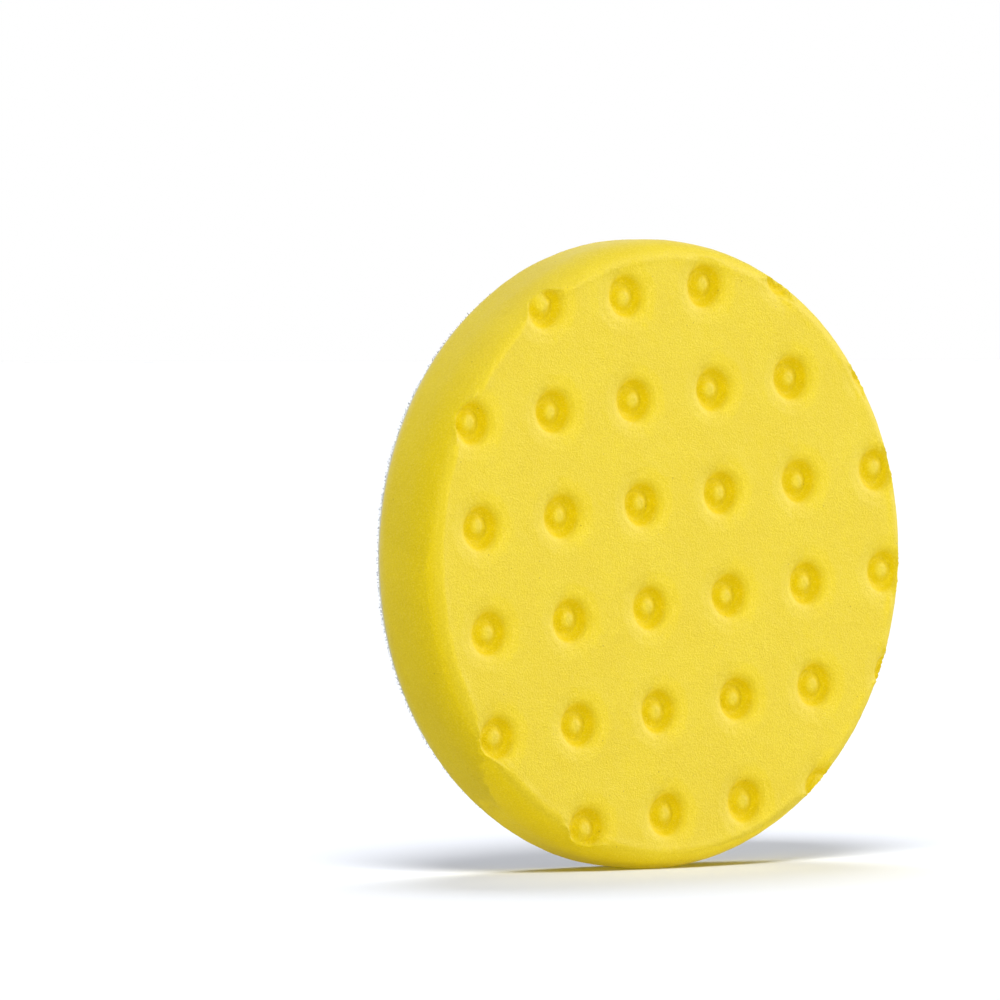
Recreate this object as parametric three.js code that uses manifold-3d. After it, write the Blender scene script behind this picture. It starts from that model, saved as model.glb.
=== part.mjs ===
// A dimpled foam polishing pad with a hook-and-loop backing, in millimetres, +Z up.
// The pad stands on its rim. Its axis is Y: the polishing face looks towards -Y, and the
// loop backing lies on the plane Y = 0, with the origin at that plane's centre.

import * as THREE from 'three';
import { mergeVertices } from 'three/addons/utils/BufferGeometryUtils.js';
import Module from 'manifold-3d';

// Foam disc: 6.5 inch across, 7/8 inch thick.
const PAD_RADIUS = 82.55;
const FOAM_THICKNESS = 22.2;
const FACE_EDGE_WIDTH = 5.2; // radial size of the rounding between the face and the wall
const FACE_EDGE_DEPTH = 9.4; // axial size of the same rounding
const BACK_EDGE_WIDTH = 2.25; // radial size of the wall's gentle curve in to the backing
const BACK_EDGE_DEPTH = 5.7;

// Backing, from the loops inwards.
const LOOP_RADIUS = 79.5;
const FILM_RADIUS = 80.2; // the film shows as a narrow pale ring outside the loops
const PILE_THICKNESS = 0.8;
const CLOTH_THICKNESS = 0.4;
const FILM_THICKNESS = 0.4;
const LAYER_GAP = 0.3; // between one layer's solid and the next

// Pockets moulded into the face, on a square grid that is turned and off-centre.
const POCKET_PITCH = 27.3;
const GRID_TURN = THREE.MathUtils.degToRad(5.9);
const GRID_START_X = -10.2; // one pocket's axis, measured from the pad's axis
const GRID_START_Z = 13.2;
const GRID_REACH = 4; // pockets tried each way from that one
const LAST_POCKET_DISTANCE = 85; // a pocket further out than this would miss the foam
const POCKET_DEPTH = 2.8; // below the face, at the floor round the nub
const LIP_RADIUS = 9.2; // where the soft lip leaves the flat face
const LIP_DROP = 1.05; // how far the lip sinks before the wall starts
const WALL_RADIUS = 5.6;
const FLOOR_RADIUS = 3.6;
const NUB_RADIUS = 3.9; // its skirt meets the foot of the wall
const NUB_TOP_RADIUS = 0.8;
const NUB_HEIGHT = 1.1; // above the floor

const BODY_SEGMENTS = 72;
const EDGE_STEPS = 4;
const POCKET_SEGMENTS = 12;
const CUTTER_CLEARANCE = 1; // how far a pocket's cutter stands out of the face

const PILE_FRONT_Y = -PILE_THICKNESS;
const CLOTH_BACK_Y = PILE_FRONT_Y - LAYER_GAP;
const CLOTH_FRONT_Y = CLOTH_BACK_Y - CLOTH_THICKNESS;
const FILM_BACK_Y = CLOTH_FRONT_Y - LAYER_GAP;
const FILM_FRONT_Y = FILM_BACK_Y - FILM_THICKNESS;
const FOAM_BACK_Y = FILM_FRONT_Y - LAYER_GAP;
const FACE_Y = FOAM_BACK_Y - FOAM_THICKNESS;

const wasm = await Module();
wasm.setup();

function solidFrom(geometry) {
  const bare = geometry.clone();
  bare.deleteAttribute('normal');
  bare.deleteAttribute('uv');
  const merged = mergeVertices(bare);
  return new wasm.Manifold(new wasm.Mesh({
    numProp: 3,
    vertProperties: merged.attributes.position.array,
    triVerts: new Uint32Array(merged.index.array),
  }));
}

function geometryFrom(solid) {
  const mesh = solid.getMesh();
  const geometry = new THREE.BufferGeometry();
  geometry.setAttribute('position', new THREE.BufferAttribute(mesh.vertProperties, mesh.numProp));
  geometry.setIndex(new THREE.BufferAttribute(mesh.triVerts, 1));
  geometry.computeVertexNormals();
  return geometry;
}

// Half a segment of turn puts a flat facet, not a corner, under the rim.
function latheBody(points) {
  return new THREE.LatheGeometry(points, BODY_SEGMENTS, Math.PI / BODY_SEGMENTS);
}

function foamOutline() {
  const faceRadius = PAD_RADIUS - FACE_EDGE_WIDTH;
  const backRadius = PAD_RADIUS - BACK_EDGE_WIDTH;
  const outline = new THREE.Path();
  outline.moveTo(0, FACE_Y);
  outline.lineTo(faceRadius, FACE_Y);
  outline.absellipse(
    faceRadius, FACE_Y + FACE_EDGE_DEPTH, FACE_EDGE_WIDTH, FACE_EDGE_DEPTH, -Math.PI / 2, 0);
  outline.lineTo(PAD_RADIUS, FOAM_BACK_Y - BACK_EDGE_DEPTH);
  outline.quadraticCurveTo(PAD_RADIUS, FOAM_BACK_Y - BACK_EDGE_DEPTH / 2, backRadius, FOAM_BACK_Y);
  outline.lineTo(0, FOAM_BACK_Y);
  return outline.getPoints(EDGE_STEPS);
}

// Depth below the face at a distance from the pocket's axis: a soft lip, a wall that starts
// steep and rounds off towards the floor, and a low broad nub that fills the middle.
function pocketDepth(distance) {
  const { clamp, smoothstep } = THREE.MathUtils;
  const lipShare = 1 - clamp((distance - WALL_RADIUS) / (LIP_RADIUS - WALL_RADIUS), 0, 1);
  const wallLeft = 1 - clamp((WALL_RADIUS - distance) / (WALL_RADIUS - FLOOR_RADIUS), 0, 1);
  const nubShare = 1 - smoothstep(distance, NUB_TOP_RADIUS, NUB_RADIUS);
  const wallDepth = (POCKET_DEPTH - LIP_DROP) * (1 - wallLeft ** 2);
  return LIP_DROP * lipShare ** 2 + wallDepth - NUB_HEIGHT * nubShare;
}

function pocketCutter() {
  const lipMiddle = (LIP_RADIUS + WALL_RADIUS) / 2;
  const wallMiddle = (WALL_RADIUS + FLOOR_RADIUS) / 2;
  const nubMiddle = (NUB_RADIUS + NUB_TOP_RADIUS) / 2;
  const rings = [
    LIP_RADIUS, lipMiddle, WALL_RADIUS, wallMiddle, NUB_RADIUS, nubMiddle, NUB_TOP_RADIUS, 0];
  const points = [
    new THREE.Vector2(0, FACE_Y - CUTTER_CLEARANCE),
    new THREE.Vector2(LIP_RADIUS, FACE_Y - CUTTER_CLEARANCE),
  ];
  for (const distance of rings) {
    points.push(new THREE.Vector2(distance, FACE_Y + pocketDepth(distance)));
  }
  return solidFrom(new THREE.LatheGeometry(points, POCKET_SEGMENTS));
}

function pocketCentres() {
  const across = new THREE.Vector2(POCKET_PITCH, 0).rotateAround(new THREE.Vector2(), GRID_TURN);
  const down = new THREE.Vector2(across.y, -across.x);
  const centres = [];
  for (let column = -GRID_REACH; column <= GRID_REACH; column += 1) {
    for (let row = -GRID_REACH; row <= GRID_REACH; row += 1) {
      const centre = new THREE.Vector2(GRID_START_X, GRID_START_Z);
      centre.addScaledVector(across, column);
      centre.addScaledVector(down, row);
      if (centre.length() < LAST_POCKET_DISTANCE) {
        centres.push(centre);
      }
    }
  }
  return centres;
}

function foamPad() {
  const cutter = pocketCutter();
  let foam = solidFrom(latheBody(foamOutline()));
  for (const centre of pocketCentres()) {
    foam = foam.subtract(cutter.translate([centre.x, 0, centre.y]));
  }
  return geometryFrom(foam);
}

function backingLayer(radius, frontY, backY) {
  return latheBody([
    new THREE.Vector2(0, frontY),
    new THREE.Vector2(radius, frontY),
    new THREE.Vector2(radius, backY),
    new THREE.Vector2(0, backY),
  ]);
}

function addPiece(group, name, geometry, finish) {
  const mesh = new THREE.Mesh(geometry, new THREE.MeshStandardMaterial(finish));
  mesh.name = name;
  group.add(mesh);
}

const YELLOW_FOAM = { color: 0xf0d642, roughness: 0.95, metalness: 0 };
const WHITE_FILM = { color: 0xe9e2cf, roughness: 0.6, metalness: 0 };
const DARK_CLOTH = { color: 0x17181c, roughness: 0.9, metalness: 0 };
const BLACK_PILE = { color: 0x0a0b12, roughness: 1, metalness: 0 };

const pad = new THREE.Group();
addPiece(pad, 'foam_pad', foamPad(), YELLOW_FOAM);
addPiece(
  pad, 'adhesive_film', backingLayer(FILM_RADIUS, FILM_FRONT_Y, FILM_BACK_Y), WHITE_FILM);
addPiece(
  pad, 'loop_ground_cloth', backingLayer(LOOP_RADIUS, CLOTH_FRONT_Y, CLOTH_BACK_Y), DARK_CLOTH);
addPiece(pad, 'loop_pile', backingLayer(LOOP_RADIUS, PILE_FRONT_Y, 0), BLACK_PILE);

export default pad;
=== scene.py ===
"""A dimpled foam polishing pad with a hook-and-loop backing, standing on its rim in a white studio.

Lengths are in metres. The pad's axis is Y: the foam face looks towards -Y, and the loops end at Y = 0.
Every piece is a disc whose outline is unrolled flat, triangulated there, and folded back round its rim.
"""

import math

import bpy
import numpy as np
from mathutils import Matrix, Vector, noise
from mathutils.geometry import delaunay_2d_cdt


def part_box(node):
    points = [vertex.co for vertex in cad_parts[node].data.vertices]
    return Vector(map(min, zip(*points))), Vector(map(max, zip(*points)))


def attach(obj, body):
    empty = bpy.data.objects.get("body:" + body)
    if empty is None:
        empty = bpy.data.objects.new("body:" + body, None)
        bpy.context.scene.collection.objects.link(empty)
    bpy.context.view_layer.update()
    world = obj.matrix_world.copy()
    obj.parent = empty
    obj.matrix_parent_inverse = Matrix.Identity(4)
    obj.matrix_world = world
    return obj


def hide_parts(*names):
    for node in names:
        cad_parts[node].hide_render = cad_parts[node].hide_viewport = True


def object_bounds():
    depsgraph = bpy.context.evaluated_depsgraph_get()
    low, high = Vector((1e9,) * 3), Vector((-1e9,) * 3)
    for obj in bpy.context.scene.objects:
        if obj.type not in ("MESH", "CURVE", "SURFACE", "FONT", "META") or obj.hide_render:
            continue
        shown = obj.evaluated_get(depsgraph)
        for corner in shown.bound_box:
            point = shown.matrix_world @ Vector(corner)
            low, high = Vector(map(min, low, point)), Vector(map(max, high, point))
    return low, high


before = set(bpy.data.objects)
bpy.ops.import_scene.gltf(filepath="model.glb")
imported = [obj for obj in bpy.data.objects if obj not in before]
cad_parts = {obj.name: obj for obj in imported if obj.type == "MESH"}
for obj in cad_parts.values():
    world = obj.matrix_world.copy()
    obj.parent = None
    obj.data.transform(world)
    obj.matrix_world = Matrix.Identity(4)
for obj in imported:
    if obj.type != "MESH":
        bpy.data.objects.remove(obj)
CAD_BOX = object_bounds()
MM = 0.001

# Camera: a long lens, almost level with the pad, well round to the left of its face.
VIEW_AZIMUTH = math.radians(-39.26)
VIEW_ELEVATION = math.radians(1.0)
VIEW_DISTANCE = 2.4467
VIEW_RIGHT = -0.02973  # how far the camera stands to the right of a line through the frame's origin
VIEW_UP = 0.0139  # and how far above that line
LENS_MM = 333.8
SENSOR_MM = 36.0
CLIP_END = 200

# Light and floor.
WHITE = (1.0, 1.0, 1.0)
WARM = (1.0, 0.93, 0.05)  # leaves the shaded sides of the pockets a deeper yellow
FLOOR_REACH = 40.0
FLOOR_TO_PAD = (0.55, 0.54, 0.40)  # the floor's colour for the light it throws back at the pad
FLOOR_TO_CAMERA = (0.88, 0.905, 0.96)  # and as the camera sees it, where it meets the white world
WORLD_BRIGHTNESS = {0.0: 1.0, 0.06: 1.0, 0.14: 0.12, 1.0: 0.12}  # by the sine of the height

# The CAD rims have flat sides, so their boxes are a little smaller than the circles they stand for.
CAD_SIDES = 72
SIDE_SHRINK = math.cos(math.pi / CAD_SIDES)

# Foam disc.
PAD_LOW, PAD_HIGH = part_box("foam_pad")
PAD_RADIUS = (PAD_HIGH.x - PAD_LOW.x) / 2 / SIDE_SHRINK
FACE_Y = PAD_LOW.y
FOAM_BACK_Y = -2.05 * MM  # a little nearer the loops than in the CAD, which keeps gaps between the layers
FACE_EDGE_WIDTH = 5.2 * MM
FACE_EDGE_DEPTH = 9.4 * MM
BACK_EDGE_WIDTH = 2.25 * MM
BACK_EDGE_DEPTH = 5.7 * MM

# Pockets in the face, on a square grid that is turned and off-centre.
POCKET_PITCH = 27.3 * MM
GRID_TURN = math.radians(5.9)
GRID_START = (-10.2 * MM, 13.2 * MM)  # one pocket's axis, measured from the pad's axis
GRID_REACH = 4  # pockets tried each way from that one
LAST_POCKET_DISTANCE = 85 * MM  # a pocket further out than this would miss the foam
POCKET_DEPTH = 2.8 * MM  # below the face, at the floor round the nub
LIP_RADIUS = 9.2 * MM  # where the soft lip leaves the flat face
LIP_DROP = 1.05 * MM  # how far the lip sinks before the wall starts
WALL_RADIUS = 5.6 * MM
FLOOR_RADIUS = 3.6 * MM
NUB_RADIUS = 3.9 * MM  # its skirt meets the foot of the wall
NUB_TOP_RADIUS = 0.8 * MM
NUB_HEIGHT = 1.1 * MM
NUB_SHIFT = 0.22 * MM  # how far a nub strays from its pocket's axis
DEPTH_RANGE = (0.9, 1.08)  # a pocket's own depth, as a share of the usual depth
OUTLINE_WOBBLE = 0.05  # how far a pocket is from round
EDGE_BLEND = 0.7 * MM  # how softly a pocket's rim meets the pad's rounded edge
RIM_HEIGHT = 0.5 * MM  # the raised line where a pocket breaks through the rounded edge
CREASE_HEIGHT = 0.3 * MM  # the uneven ridge where the face turns over into the rounded edge
CREASE_WIDTH = 0.8 * MM
BROAD_SWELL = 0.16 * MM  # the face's slow unevenness
FINE_SWELL = 0.06 * MM
POINT_SCATTER = 0.018 * MM  # of single points of the mesh

# Backing layers, from the loops inwards; each lies on the next.
FILM_LOW, FILM_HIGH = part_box("adhesive_film")
FILM_RADIUS = (FILM_HIGH.x - FILM_LOW.x) / 2 / SIDE_SHRINK
LOOP_LOW, LOOP_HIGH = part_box("loop_pile")
LOOP_RADIUS = (LOOP_HIGH.x - LOOP_LOW.x) / 2 / SIDE_SHRINK
PILE_BACK_Y = LOOP_HIGH.y
PILE_FRONT_Y = -0.9 * MM
CLOTH_FRONT_Y = -1.3 * MM
RIPPLE = 0.05 * MM  # of the film's and the cloth's cut edges
WALES = 420  # ribs of the knitted cloth round its edge
MAT_PITCH = 1.0 * MM
LOOP_PITCH = 1.95 * MM
LOOP_YARN_RADIUS = 0.055 * MM
FRINGE_PITCH = 0.42 * MM
FRINGE_YARN_RADIUS = 0.06 * MM

# Mesh fineness.
FOAM_PITCH = 0.9 * MM
POCKET_RING_STEP = 0.45 * MM
POCKET_POINT_STEP = 0.5 * MM
POCKET_MESH_RADIUS = 8.7 * MM
POCKET_REACH_DEPTH = 3.6 * MM  # no pocket reaches this far down the pad's rounded edge
BACKING_PITCH = 4 * MM
MERGE_DISTANCE = 1e-7
RIM_TOLERANCE = 1e-6
NOT_ZERO = 1e-9


# The colour sockets of a Mix node, which share their names with its number sockets.
MIX_A = 6
MIX_B = 7
MIX_RESULT = 2


# ---------------------------------------------------------------- camera, floor and light

def aim_camera():
    """The azimuth runs from -Y towards +X, and `back` points from the pad to the camera."""
    azimuth, elevation = VIEW_AZIMUTH, VIEW_ELEVATION
    back = Vector((
        math.sin(azimuth) * math.cos(elevation),
        -math.cos(azimuth) * math.cos(elevation),
        math.sin(elevation),
    ))
    right = (-back).cross(Vector((0, 0, 1))).normalized()
    up = right.cross(-back)
    data = bpy.data.cameras.new("camera")
    data.lens = LENS_MM
    data.sensor_width = SENSOR_MM
    data.clip_end = CLIP_END
    camera = bpy.data.objects.new("camera", data)
    camera.location = back * VIEW_DISTANCE + right * VIEW_RIGHT + up * VIEW_UP
    camera.rotation_euler = back.to_track_quat("Z", "Y").to_euler()
    bpy.context.scene.collection.objects.link(camera)
    bpy.context.scene.camera = camera


def white_world():
    """White below the horizon and a little above it, and dim higher up."""
    world = bpy.data.worlds.new("studio")
    bpy.context.scene.world = world
    world.use_nodes = True
    tree = world.node_tree
    background = tree.nodes["Background"]
    direction = tree.nodes.new("ShaderNodeTexCoord")
    split = tree.nodes.new("ShaderNodeSeparateXYZ")
    tree.links.new(direction.outputs["Generated"], split.inputs["Vector"])
    ramp_node = tree.nodes.new("ShaderNodeValToRGB")
    ramp = ramp_node.color_ramp
    while len(ramp.elements) < len(WORLD_BRIGHTNESS):
        ramp.elements.new(0.5)
    for element, (height, level) in zip(ramp.elements, WORLD_BRIGHTNESS.items()):
        element.position = height
        element.color = (level, level, level, 1)
    tree.links.new(split.outputs["Z"], ramp_node.inputs["Fac"])
    tree.links.new(ramp_node.outputs["Color"], background.inputs["Color"])
    background.inputs["Strength"].default_value = 1.0


def group_of(name, objects):
    group = bpy.data.collections.new(name)
    for piece in objects:
        group.objects.link(piece)
    return group


def soft_light(name, towards, strength, spread, colour, only, shaded_by):
    """A soft lamp far away in the direction `towards`, `spread` degrees across as the pad sees it.

    It lights only the objects in `only`, and only those in `shaded_by` cast its shadows.
    """
    sun = bpy.data.lights.new(name, "SUN")
    sun.energy = strength
    sun.color = colour
    sun.angle = math.radians(spread)
    light = bpy.data.objects.new(name, sun)
    light.rotation_euler = Vector(towards).to_track_quat("Z", "Y").to_euler()
    bpy.context.scene.collection.objects.link(light)
    light.light_linking.receiver_collection = group_of(name + "_lights", only)
    light.light_linking.blocker_collection = group_of(name + "_shadows", shaded_by)


def lay_floor(height):
    mesh = bpy.data.meshes.new("floor")
    signs = [(-1, -1), (1, -1), (1, 1), (-1, 1)]
    corners = [(x * FLOOR_REACH, y * FLOOR_REACH, height) for x, y in signs]
    mesh.from_pydata(corners, [], [(0, 1, 2, 3)])
    floor = bpy.data.objects.new("floor", mesh)
    bpy.context.scene.collection.objects.link(floor)
    material = bpy.data.materials.new("floor_white")
    material.use_nodes = True
    tree = material.node_tree
    shader = tree.nodes["Principled BSDF"]
    shader.inputs["Roughness"].default_value = 1.0
    shader.inputs["Specular IOR Level"].default_value = 0.0
    ray = tree.nodes.new("ShaderNodeLightPath")
    white = tree.nodes.new("ShaderNodeMix")
    white.data_type = "RGBA"
    white.inputs[MIX_A].default_value = (*FLOOR_TO_PAD, 1)
    white.inputs[MIX_B].default_value = (*FLOOR_TO_CAMERA, 1)
    tree.links.new(ray.outputs["Is Camera Ray"], white.inputs["Factor"])
    tree.links.new(white.outputs[MIX_RESULT], shader.inputs["Base Color"])
    mesh.materials.append(material)
    return floor


# ---------------------------------------------------------------- unrolled discs

class Outline:
    """Half of a turned piece's section, as points (radius, y) from the axis to the hidden side's edge."""

    def __init__(self, points):
        self.points = np.array(points)
        steps = np.hypot(*np.diff(self.points, axis=0).T)
        self.along = np.concatenate([[0], np.cumsum(steps)])
        self.length = self.along[-1]

    def at(self, distance):
        radius = np.interp(distance, self.along, self.points[:, 0])
        y = np.interp(distance, self.along, self.points[:, 1])
        return radius, y

    def distance_at(self, radius):
        """How far along the outline it reaches a radius, in its first stretch, where it moves outwards."""
        grows = np.concatenate([[True], np.diff(self.points[:, 0]) > 0])
        last = int(np.argmin(grows)) if not grows.all() else len(grows)
        return np.interp(radius, self.points[:last, 0], self.along[:last])


def hex_lattice(reach, pitch, rng, jitter=0.18):
    """Jittered points in rows 0.87 of a pitch apart, within `reach` of the middle."""
    most = math.ceil(reach / pitch * 1.2)
    numbers = np.arange(-most, most + 1)
    column, row = np.meshgrid(numbers, numbers)
    u = (column + 0.5 * (row % 2)) * pitch
    v = row * pitch * math.sqrt(3) / 2
    points = np.column_stack([u.ravel(), v.ravel()])
    points = points + rng.uniform(-jitter, jitter, points.shape) * pitch
    return points[np.hypot(*points.T) < reach]


def ring(distance, count, turn=0.0):
    angles = turn + np.arange(count) * 2 * math.pi / count
    return distance * np.column_stack([np.cos(angles), np.sin(angles)])


def triangulate(points):
    """(points, triangles) of the flat points' Delaunay mesh, with every triangle turned the same way."""
    made = delaunay_2d_cdt([Vector(p) for p in points], [], [], 0, MERGE_DISTANCE)
    flat = np.array([tuple(p) for p in made[0]])
    triangles = np.array(made[2])
    a, b, c = (flat[triangles[:, k]] for k in range(3))
    turned = np.cross(b - a, c - a) < 0
    triangles[turned] = triangles[turned][:, ::-1]
    return flat, triangles


def fold(flat, outline):
    """Flat points to (x, y, z) round the outline."""
    distance = np.hypot(*flat.T)
    radius, y = outline.at(distance)
    scale = radius / np.maximum(distance, NOT_ZERO)
    return np.column_stack([flat[:, 0] * scale, y, flat[:, 1] * scale])


def vertex_normals(points, triangles):
    a, b, c = (points[triangles[:, k]] for k in range(3))
    across = np.cross(b - a, c - a)
    normals = np.zeros_like(points)
    for k in range(3):
        np.add.at(normals, triangles[:, k], across)
    return normals / np.maximum(np.linalg.norm(normals, axis=1), 1e-12)[:, None]


def close_back(points, triangles, flat):
    """Adds a fan from the outer ring to a point on the axis, which closes the hidden side."""
    distance = np.hypot(*flat.T)
    rim = np.flatnonzero(distance > distance.max() - RIM_TOLERANCE)
    rim = rim[np.argsort(np.arctan2(flat[rim, 1], flat[rim, 0]))]
    centre = len(points)
    middle = np.array([[0, points[rim, 1].mean(), 0]])
    fan = np.column_stack([np.roll(rim, -1), rim, np.full(len(rim), centre)])
    return np.vstack([points, middle]), np.vstack([triangles, fan])


def make_piece(name, points, triangles, material):
    mesh = bpy.data.meshes.new(name)
    mesh.from_pydata(points.tolist(), [], triangles.tolist())
    mesh.materials.append(material)
    mesh.shade_smooth()
    piece = bpy.data.objects.new(name, mesh)
    bpy.context.scene.collection.objects.link(piece)
    return piece


def add_attribute(piece, name, values):
    attribute = piece.data.attributes.new(name, "FLOAT", "POINT")
    attribute.data.foreach_set("value", values.astype(np.float32))


def waves(points, wavelength, seed):
    """Smooth noise between -1 and 1 at each point."""
    shift = Vector((seed * 17.3, seed * 5.1, seed * 9.7))
    return np.array([noise.noise(Vector(p) / wavelength + shift) for p in points])


# ---------------------------------------------------------------- foam

def foam_outline():
    flat_radius = PAD_RADIUS - FACE_EDGE_WIDTH
    points = [(0, FACE_Y), (flat_radius, FACE_Y)]
    for angle in np.linspace(0, math.pi / 2, 40)[1:]:
        points.append((
            flat_radius + FACE_EDGE_WIDTH * math.sin(angle),
            FACE_Y + FACE_EDGE_DEPTH * (1 - math.cos(angle)),
        ))
    for t in np.linspace(0, 1, 24):
        points.append((
            PAD_RADIUS - BACK_EDGE_WIDTH * t * t,
            FOAM_BACK_Y - BACK_EDGE_DEPTH * (1 - t),
        ))
    return Outline(points)


def pocket_centres():
    across = POCKET_PITCH * np.array([math.cos(GRID_TURN), math.sin(GRID_TURN)])
    down = np.array([across[1], -across[0]])
    centres = []
    for column in range(-GRID_REACH, GRID_REACH + 1):
        for row in range(-GRID_REACH, GRID_REACH + 1):
            centre = np.array(GRID_START) + across * column + down * row
            if np.hypot(*centre) < LAST_POCKET_DISTANCE:
                centres.append(centre)
    return np.array(centres)


def smoothstep(value):
    value = np.clip(value, 0, 1)
    return value * value * (3 - 2 * value)


def pocket_depth(distance, nub_distance):
    """A soft lip that steepens to a creased edge, a wall that rounds into the floor, and a low nub."""
    lip_share = 1 - np.clip((distance - WALL_RADIUS) / (LIP_RADIUS - WALL_RADIUS), 0, 1)
    wall_left = 1 - np.clip((WALL_RADIUS - distance) / (WALL_RADIUS - FLOOR_RADIUS), 0, 1)
    nub_share = 1 - smoothstep((nub_distance - NUB_TOP_RADIUS) / (NUB_RADIUS - NUB_TOP_RADIUS))
    wall = (POCKET_DEPTH - LIP_DROP) * (1 - wall_left ** 2)
    return LIP_DROP * lip_share ** 2 + wall - NUB_HEIGHT * nub_share


def nearest_pocket(places, centres):
    """(distance from each (x, z) to the nearest pocket's axis, that pocket's number)."""
    distances = np.stack([np.hypot(*(places - centre).T) for centre in centres])
    number = distances.argmin(0)
    return distances[number, np.arange(len(places))], number


def foam_flat_points(outline, centres, rng):
    """A jittered lattice, with fine rings in place of it inside each pocket."""
    lattice = hex_lattice(outline.length - 0.6 * FOAM_PITCH, FOAM_PITCH, rng)
    placed = fold(lattice, outline)
    in_pocket = nearest_pocket(placed[:, [0, 2]], centres)[0] < POCKET_MESH_RADIUS + FOAM_PITCH / 2
    in_pocket &= placed[:, 1] < FACE_Y + POCKET_REACH_DEPTH
    groups = [lattice[~in_pocket]]
    for centre in centres:
        for radius in np.arange(0, POCKET_MESH_RADIUS, POCKET_RING_STEP):
            count = max(1, round(2 * math.pi * radius / POCKET_POINT_STEP))
            places = centre + ring(radius, count, radius / POCKET_RING_STEP)
            out = np.hypot(*places.T)
            places = places[out < PAD_RADIUS - 0.2 * MM]
            out = np.hypot(*places.T)
            distance = outline.distance_at(out)
            shallow = outline.at(distance)[1] < FACE_Y + POCKET_REACH_DEPTH
            groups.append((places / out[:, None] * distance[:, None])[shallow])
    groups.append(ring(outline.length, round(2 * math.pi * outline.length / FOAM_PITCH)))
    return np.vstack(groups)


def sink_pockets(points, centres, rng):
    """Lowers the face into the pockets, no two quite alike.

    Returns how far each point has sunk, as a share of a pocket's depth, and less than that on a nub; this
    is the mask for the painted shade in the pockets.
    """
    places = points[:, [0, 2]]
    edge_depth = points[:, 1] - FACE_Y
    distance, number = nearest_pocket(places, centres)
    nub_centres = centres + rng.normal(0, NUB_SHIFT, centres.shape)
    nub_distance = np.hypot(*(places - nub_centres[number]).T)
    distance = distance * (1 + OUTLINE_WOBBLE * waves(points, 7 * MM, 8))
    depth = pocket_depth(distance, nub_distance) * rng.uniform(*DEPTH_RANGE, len(centres))[number]
    overlap = np.maximum(EDGE_BLEND - np.abs(edge_depth - depth), 0) / EDGE_BLEND
    over_edge = smoothstep((edge_depth - 0.1 * MM) / (0.4 * MM))
    blend = EDGE_BLEND / 4 * (1 - over_edge) - RIM_HEIGHT * over_edge
    blended = np.maximum(edge_depth, depth) + overlap ** 2 * blend
    reach = depth > 1e-7
    sunk = np.where(reach, blended, edge_depth)
    points[:, 1] = FACE_Y + sunk
    on_nub = 1 - smoothstep(nub_distance / NUB_RADIUS)
    return (sunk - edge_depth) / POCKET_DEPTH - 0.5 * on_nub


def build_foam(material):
    rng = np.random.default_rng(7)
    outline = foam_outline()
    centres = pocket_centres()
    flat, triangles = triangulate(foam_flat_points(outline, centres, rng))
    points = fold(flat, outline)
    edge_depth = points[:, 1] - FACE_Y
    pocket_shade = sink_pockets(points, centres, rng)
    uneven = BROAD_SWELL * waves(points, 22 * MM, 1) + FINE_SWELL * waves(points, 3.5 * MM, 2)
    uneven += rng.normal(0, POINT_SCATTER, len(points))
    off_crease = (np.hypot(*flat.T) - (PAD_RADIUS - FACE_EDGE_WIDTH)) / CREASE_WIDTH
    uneven += CREASE_HEIGHT * np.exp(-off_crease ** 2) * (0.5 + waves(points, 8 * MM, 9))
    fixed = smoothstep((outline.length - np.hypot(*flat.T)) / (2 * MM))
    points = points + vertex_normals(points, triangles) * (uneven * fixed)[:, None]
    points, triangles = close_back(points, triangles, flat)
    foam = make_piece("foam_body", points, triangles, material)
    # Masks for painted shade: a deeper yellow in the pockets and a more golden side wall.
    add_attribute(foam, "pocket_shade", np.append(pocket_shade, 0))
    add_attribute(foam, "wall", wall_shade_share(points, np.append(edge_depth, edge_depth.max())))
    return foam


def wall_shade_share(points, below_face):
    """Painted shade on the side: 1 on the rounded edge and the side wall, less towards the backing and
    fading out near the top, so those parts stay paler as painted sheen and painted light from above.
    """
    past_edge = smoothstep((below_face - 0.1 * MM) / (2 * MM))
    towards_back = smoothstep((below_face - 9 * MM) / (12 * MM))
    height = points[:, 2] / PAD_RADIUS
    near_top = smoothstep((height - 0.3) / 0.5)
    return past_edge * (1 - 0.6 * towards_back) * (1 - 0.9 * near_top)


# ---------------------------------------------------------------- backing

def build_film(material):
    """The bonding film squeezes out a little past the loops, as a thin wavy ring."""
    rng = np.random.default_rng(11)
    radius = FILM_RADIUS
    outline = Outline([
        (0, CLOTH_FRONT_Y),
        (radius - 0.2 * MM, CLOTH_FRONT_Y),
        (radius + 0.02 * MM, CLOTH_FRONT_Y - 0.12 * MM),
        (radius + 0.1 * MM, CLOTH_FRONT_Y - 0.35 * MM),
        (radius + 0.1 * MM, FOAM_BACK_Y - 0.05 * MM),
    ])
    groups = [hex_lattice(LOOP_RADIUS - BACKING_PITCH, BACKING_PITCH, rng)]
    for inset in (2.6, 1.5, 1.05, 0.85, 0.7, 0.55, 0.4, 0.2, 0.0):
        distance = outline.length - inset * MM
        groups.append(ring(distance, round(2 * math.pi * distance / (0.38 * MM)), inset))
    flat, triangles = triangulate(np.vstack(groups))
    points = fold(flat, outline)
    outer = smoothstep((np.hypot(points[:, 0], points[:, 2]) - LOOP_RADIUS + 0.2 * MM) / (0.6 * MM))
    swell = RIPPLE * waves(points * [1, 0, 1], 2.3 * MM, 3) * outer
    radial = points * [1, 0, 1]
    radial = radial / np.maximum(np.linalg.norm(radial, axis=1), NOT_ZERO)[:, None]
    points = points + radial * swell[:, None]
    points[:, 1] += RIPPLE * waves(points * [1, 0, 1], 1.7 * MM, 4) * outer
    points, triangles = close_back(points, triangles[:, ::-1], flat)
    return make_piece("film_ring", points, triangles, material)


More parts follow.
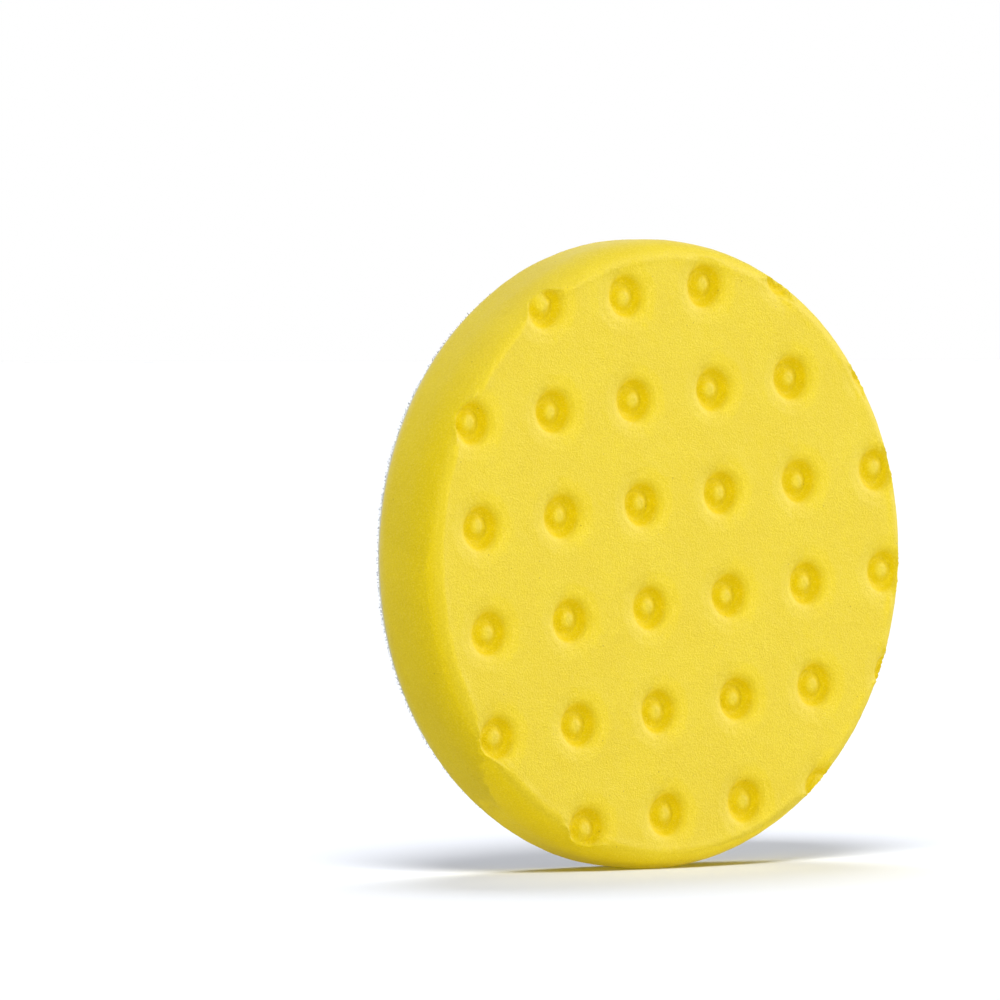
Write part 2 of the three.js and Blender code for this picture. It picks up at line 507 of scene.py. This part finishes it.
def build_cloth(material):
    """The loops' knitted ground cloth; only its cut edge shows."""
    rng = np.random.default_rng(13)
    outline = Outline([
        (0, PILE_FRONT_Y),
        (LOOP_RADIUS - 0.1 * MM, PILE_FRONT_Y),
        (LOOP_RADIUS, PILE_FRONT_Y - 0.1 * MM),
        (LOOP_RADIUS, CLOTH_FRONT_Y + 0.1 * MM),
        (LOOP_RADIUS - 0.1 * MM, CLOTH_FRONT_Y),
    ])
    groups = [hex_lattice(LOOP_RADIUS - BACKING_PITCH, BACKING_PITCH, rng)]
    for inset in (3.0, 1.6, 0.8, 0.5, 0.35, 0.2, 0.0):
        distance = outline.length - inset * MM
        groups.append(ring(distance, round(2 * math.pi * distance / (0.4 * MM)), inset))
    flat, triangles = triangulate(np.vstack(groups))
    points = fold(flat, outline)
    angle = np.arctan2(points[:, 2], points[:, 0])
    outer = smoothstep((np.hypot(points[:, 0], points[:, 2]) - LOOP_RADIUS + 0.6 * MM) / (0.5 * MM))
    wale = RIPPLE * np.sin(angle * WALES) * outer + RIPPLE * rng.normal(0, 1, len(points)) * outer
    points[:, 0] += wale * np.cos(angle)
    points[:, 2] += wale * np.sin(angle)
    points, triangles = close_back(points, triangles[:, ::-1], flat)
    return make_piece("ground_cloth", points, triangles, material)


def felt_height(places):
    """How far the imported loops' mat lies below their tips, at each (x, 0, z)."""
    return (0.34 + 0.10 * waves(places, 9 * MM, 5) + 0.12 * waves(places, 1.3 * MM, 6)) * MM


def loop_tubes(roots, lean, length, rise, width, rng):
    """Bent yarns as closed three-sided tubes: up out of the mat at `roots`, over along `lean`, and down."""
    stations = np.array([0.0, 0.33, 0.67, 1.0])
    lift = np.array([-0.25, 0.75, 0.75, -0.25])
    spread = rng.normal(0, 0.16, (len(roots), len(stations)))
    side = np.column_stack([-lean[:, 2], lean[:, 1] * 0, lean[:, 0]])
    points = []
    for k, station in enumerate(stations):
        middle = roots + lean * (length * station)[:, None] + side * (length * spread[:, k])[:, None]
        middle = middle + np.array([0, 1, 0]) * (rise * lift[k])[:, None]
        for corner in range(3):
            angle = corner * 2 * math.pi / 3
            offset = side * math.cos(angle) + np.array([0, 1, 0]) * math.sin(angle)
            points.append(middle + offset * width)
    points = np.stack(points, 1)
    faces = []
    for k in range(len(stations) - 1):
        for corner in range(3):
            a, b = 3 * k + corner, 3 * k + (corner + 1) % 3
            faces += [(a, b, b + 3), (a, b + 3, a + 3)]
    last = 3 * (len(stations) - 1)
    faces += [(2, 1, 0), (last, last + 1, last + 2)]
    faces = np.array(faces)
    count = points.shape[1]
    shift = np.arange(len(roots))[:, None, None] * count
    return points.reshape(-1, 3), (faces[None] + shift).reshape(-1, 3)


def build_pile(material):
    """The mat of loops, the loops that stand on it, and the cut yarns that fringe its edge."""
    rng = np.random.default_rng(17)
    outline = Outline([
        (0, PILE_BACK_Y),
        (LOOP_RADIUS - 0.5 * MM, PILE_BACK_Y),
        (LOOP_RADIUS - 0.1 * MM, PILE_BACK_Y - 0.2 * MM),
        (LOOP_RADIUS, PILE_BACK_Y - 0.45 * MM),
        (LOOP_RADIUS, PILE_FRONT_Y),
    ])
    lattice = hex_lattice(outline.length - 0.8 * MAT_PITCH, MAT_PITCH, rng, 0.3)
    rim = ring(outline.length, round(2 * math.pi * outline.length / (0.6 * MM)))
    shoulder = ring(outline.length - 0.45 * MM, round(2 * math.pi * outline.length / (0.6 * MM)), 0.01)
    flat, triangles = triangulate(np.vstack([lattice, shoulder, rim]))
    points = fold(flat, outline)
    inner = smoothstep((outline.length - np.hypot(*flat.T)) / (1.2 * MM))
    points[:, 1] -= felt_height(points * [1, 0, 1]) * inner
    points, triangles = close_back(points, triangles[:, ::-1], flat)

    roots = hex_lattice(LOOP_RADIUS - 0.7 * MM, LOOP_PITCH, rng, 0.45)
    roots = np.column_stack([roots[:, 0], np.zeros(len(roots)), roots[:, 1]])
    roots[:, 1] = PILE_BACK_Y - felt_height(roots)
    angles = rng.uniform(0, 2 * math.pi, len(roots))
    lean = np.column_stack([np.cos(angles), np.zeros(len(roots)), np.sin(angles)])
    length = rng.uniform(0.9, 1.9, len(roots)) * MM
    rise = rng.uniform(0.25, 0.5, len(roots)) * MM
    loops = loop_tubes(roots, lean, length, rise, LOOP_YARN_RADIUS, rng)

    count = round(2 * math.pi * LOOP_RADIUS / FRINGE_PITCH)
    angles = np.arange(count) * 2 * math.pi / count + rng.uniform(-1, 1, count) * 0.003
    outward = np.column_stack([np.cos(angles), np.zeros(count), np.sin(angles)])
    roots = outward * (LOOP_RADIUS - 0.35 * MM)
    roots[:, 1] = PILE_BACK_Y - rng.uniform(0.1, 0.75, count) * MM
    swing = angles + rng.normal(0, 0.5, count)
    lean = np.column_stack([np.cos(swing), np.zeros(count), np.sin(swing)])
    length = rng.uniform(0.5, 1.05, count) * MM
    rise = rng.uniform(-0.1, 0.2, count) * MM
    fringe = loop_tubes(roots, lean, length, rise, FRINGE_YARN_RADIUS, rng)

    parts = [(points, triangles), loops, fringe]
    offset = 0
    all_points, all_triangles = [], []
    for part_points, part_triangles in parts:
        all_points.append(part_points)
        all_triangles.append(part_triangles + offset)
        offset += len(part_points)
    return make_piece("loop_pile_nap", np.vstack(all_points), np.vstack(all_triangles), material)


# ---------------------------------------------------------------- materials

class Shading:
    """Short calls for building one material's nodes."""

    def __init__(self, name):
        self.material = bpy.data.materials.new(name)
        self.material.use_nodes = True
        self.tree = self.material.node_tree
        self.shader = self.tree.nodes["Principled BSDF"]
        self.place = self.tree.nodes.new("ShaderNodeTexCoord").outputs["Object"]

    def link(self, source, target):
        self.tree.links.new(source, target)

    def noise(self, per_metre, detail=2.0, roughness=0.5):
        node = self.tree.nodes.new("ShaderNodeTexNoise")
        node.inputs["Scale"].default_value = per_metre
        node.inputs["Detail"].default_value = detail
        node.inputs["Roughness"].default_value = roughness
        self.link(self.place, node.inputs["Vector"])
        return node.outputs["Fac"]

    def cells(self, per_metre):
        """The distance to the nearest cell's middle."""
        node = self.tree.nodes.new("ShaderNodeTexVoronoi")
        node.inputs["Scale"].default_value = per_metre
        self.link(self.place, node.inputs["Vector"])
        return node.outputs["Distance"]

    def cell_chance(self, per_metre):
        """A number from 0 to 1 that is the same all over one cell."""
        node = self.tree.nodes.new("ShaderNodeTexVoronoi")
        node.inputs["Scale"].default_value = per_metre
        self.link(self.place, node.inputs["Vector"])
        split = self.tree.nodes.new("ShaderNodeSeparateColor")
        self.link(node.outputs["Color"], split.inputs["Color"])
        return split.outputs["Red"]

    def remap(self, value, low, high, to_low=0.0, to_high=1.0):
        node = self.tree.nodes.new("ShaderNodeMapRange")
        node.inputs["From Min"].default_value = low
        node.inputs["From Max"].default_value = high
        node.inputs["To Min"].default_value = to_low
        node.inputs["To Max"].default_value = to_high
        self.link(value, node.inputs["Value"])
        return node.outputs["Result"]

    def combine(self, operation, a, b):
        node = self.tree.nodes.new("ShaderNodeMath")
        node.operation = operation
        self.link(a, node.inputs[0])
        self.link(b, node.inputs[1])
        return node.outputs["Value"]

    def mix(self, share, a, b):
        """From `a` to `b` as the share goes from 0 to 1; each is a colour or another node's output."""
        node = self.tree.nodes.new("ShaderNodeMix")
        node.data_type = "RGBA"
        self.link(share, node.inputs["Factor"])
        for socket, value in ((node.inputs[MIX_A], a), (node.inputs[MIX_B], b)):
            if isinstance(value, tuple):
                socket.default_value = (*value, 1)
            else:
                self.link(value, socket)
        return node.outputs[MIX_RESULT]

    def attribute(self, name):
        node = self.tree.nodes.new("ShaderNodeAttribute")
        node.attribute_name = name
        return node.outputs["Fac"]

    def bump(self, height, depth, strength=1.0):
        node = self.tree.nodes.new("ShaderNodeBump")
        node.inputs["Strength"].default_value = strength
        node.inputs["Distance"].default_value = depth
        self.link(height, node.inputs["Height"])
        self.link(node.outputs["Normal"], self.shader.inputs["Normal"])

    def set(self, **values):
        for name, value in values.items():
            self.shader.inputs[name.replace("_", " ")].default_value = value


def foam_material():
    """Painted shade: deeper yellow in the pockets and a more golden side wall, with yellow-tinted
    reflections in both. Also blotches, fine grain, pale flecks and a few dark pricks.
    """
    s = Shading("yellow_foam")
    # Painted shade: the pockets turn a deeper, more orange yellow, less so on the raised nubs.
    pocket_shade = s.remap(s.attribute("pocket_shade"), 0.05, 0.6)
    wall = s.attribute("wall")
    colour = s.mix(pocket_shade, (0.78, 0.64, 0.028), (0.78, 0.60, 0.002))
    # Painted shade: the rounded edge and side wall a more golden yellow, fading towards the backing and
    # near the top, which leaves a painted sheen and a painted lit top there.
    colour = s.mix(wall, colour, (0.79, 0.635, 0.020))
    mottling = s.remap(s.noise(90, 3), 0.3, 0.7, 0.0, 0.3)
    colour = s.mix(mottling, colour, (0.70, 0.53, 0.016))
    grain = s.remap(s.noise(2600, 3, 0.7), 0.35, 0.65, 0.0, 0.5)
    colour = s.mix(grain, colour, (0.60, 0.44, 0.002))
    pale = s.remap(s.noise(1900, 2, 0.6), 0.52, 0.68, 0.0, 0.36)
    colour = s.mix(pale, colour, (0.86, 0.71, 0.11))
    rare = s.remap(s.cell_chance(420), 0.90, 0.91)
    pricks = s.remap(s.cells(420), 0.06, 0.12, 0.6, 0.0)
    colour = s.mix(s.combine("MULTIPLY", pricks, rare), colour, (0.34, 0.23, 0.01))
    s.link(colour, s.shader.inputs["Base Color"])
    # Painted shade in the reflections: the specular turns yellow in the deep pockets and on the side wall.
    deep_pocket_shade = s.remap(s.attribute("pocket_shade"), 0.3, 0.6)
    tint = s.mix(s.combine("MAXIMUM", deep_pocket_shade, wall), WHITE, (1.0, 0.8, 0.15))
    s.link(tint, s.shader.inputs["Specular Tint"])
    s.set(Roughness=0.6, Specular_IOR_Level=0.5, Sheen_Weight=0.2, Sheen_Roughness=0.3)
    s.set(Sheen_Tint=(1.0, 0.98, 0.85, 1))
    height = s.combine("ADD", s.cells(2300), s.noise(1500, 3, 0.6))
    s.bump(height, 0.1 * MM, 0.7)
    return s.material


def film_material():
    s = Shading("bonding_film")
    colour = s.mix(s.noise(420, 2), (0.80, 0.77, 0.66), (0.52, 0.50, 0.44))
    s.link(colour, s.shader.inputs["Base Color"])
    s.set(Roughness=0.55)
    s.bump(s.noise(1800, 3), 0.1 * MM)
    return s.material


def cloth_material():
    s = Shading("dark_ground_cloth")
    colour = s.mix(s.noise(900, 2), (0.010, 0.011, 0.015), (0.03, 0.03, 0.035))
    s.link(colour, s.shader.inputs["Base Color"])
    s.set(Roughness=0.9)
    s.bump(s.cells(1600), 0.1 * MM)
    return s.material


def pile_material():
    s = Shading("black_loop_pile")
    colour = s.mix(s.noise(500, 3), (0.0022, 0.0026, 0.0060), (0.0060, 0.0066, 0.0120))
    s.link(colour, s.shader.inputs["Base Color"])
    s.set(Roughness=0.95, Sheen_Weight=0.04, Sheen_Roughness=0.45, Specular_IOR_Level=0.15)
    s.set(Sheen_Tint=(0.75, 0.8, 1.0, 1))
    s.bump(s.noise(2600, 3, 0.7), 0.12 * MM)
    return s.material


# ---------------------------------------------------------------- the scene


aim_camera()
bpy.context.scene.view_settings.view_transform = "Standard"
white_world()
floor = lay_floor(CAD_BOX[0].z)

foam = build_foam(foam_material())
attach(foam, "root")
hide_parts("foam_pad")

film = build_film(film_material())
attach(film, "root")
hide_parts("adhesive_film")

pile = build_pile(pile_material())
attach(pile, "root")
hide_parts("loop_pile")

cloth = build_cloth(cloth_material())
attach(cloth, "root")
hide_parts("loop_ground_cloth")

# Three lamps light only the floor, and five light only the pad. The pad casts all the shadows.
pieces = [foam, film, cloth, pile]
soft_light("overhead", (0.0, 0.0, 1.0), 0.15, 30, WHITE, [floor], pieces)
soft_light("floor_front", (-0.39, -0.48, 0.79), 2.3, 24, WHITE, [floor], pieces)
soft_light("floor_rear", (0.35, 0.43, 0.83), 1.6, 28, WHITE, [floor], pieces)
soft_light("top", (-0.40, -0.15, 0.9), 1.35, 50, WHITE, pieces, pieces)
soft_light("key", (0.85, -0.40, 0.35), 2.2, 40, WHITE, pieces, pieces)
soft_light("fill", (-0.40, -0.85, 0.0), 2.2, 110, WARM, pieces, pieces)
soft_light("bounce", (-0.1, -0.45, -1.0), 1.7, 100, WARM, pieces, pieces)
soft_light("back", (0.15, 0.9, 0.45), 1.3, 80, WHITE, pieces, pieces)
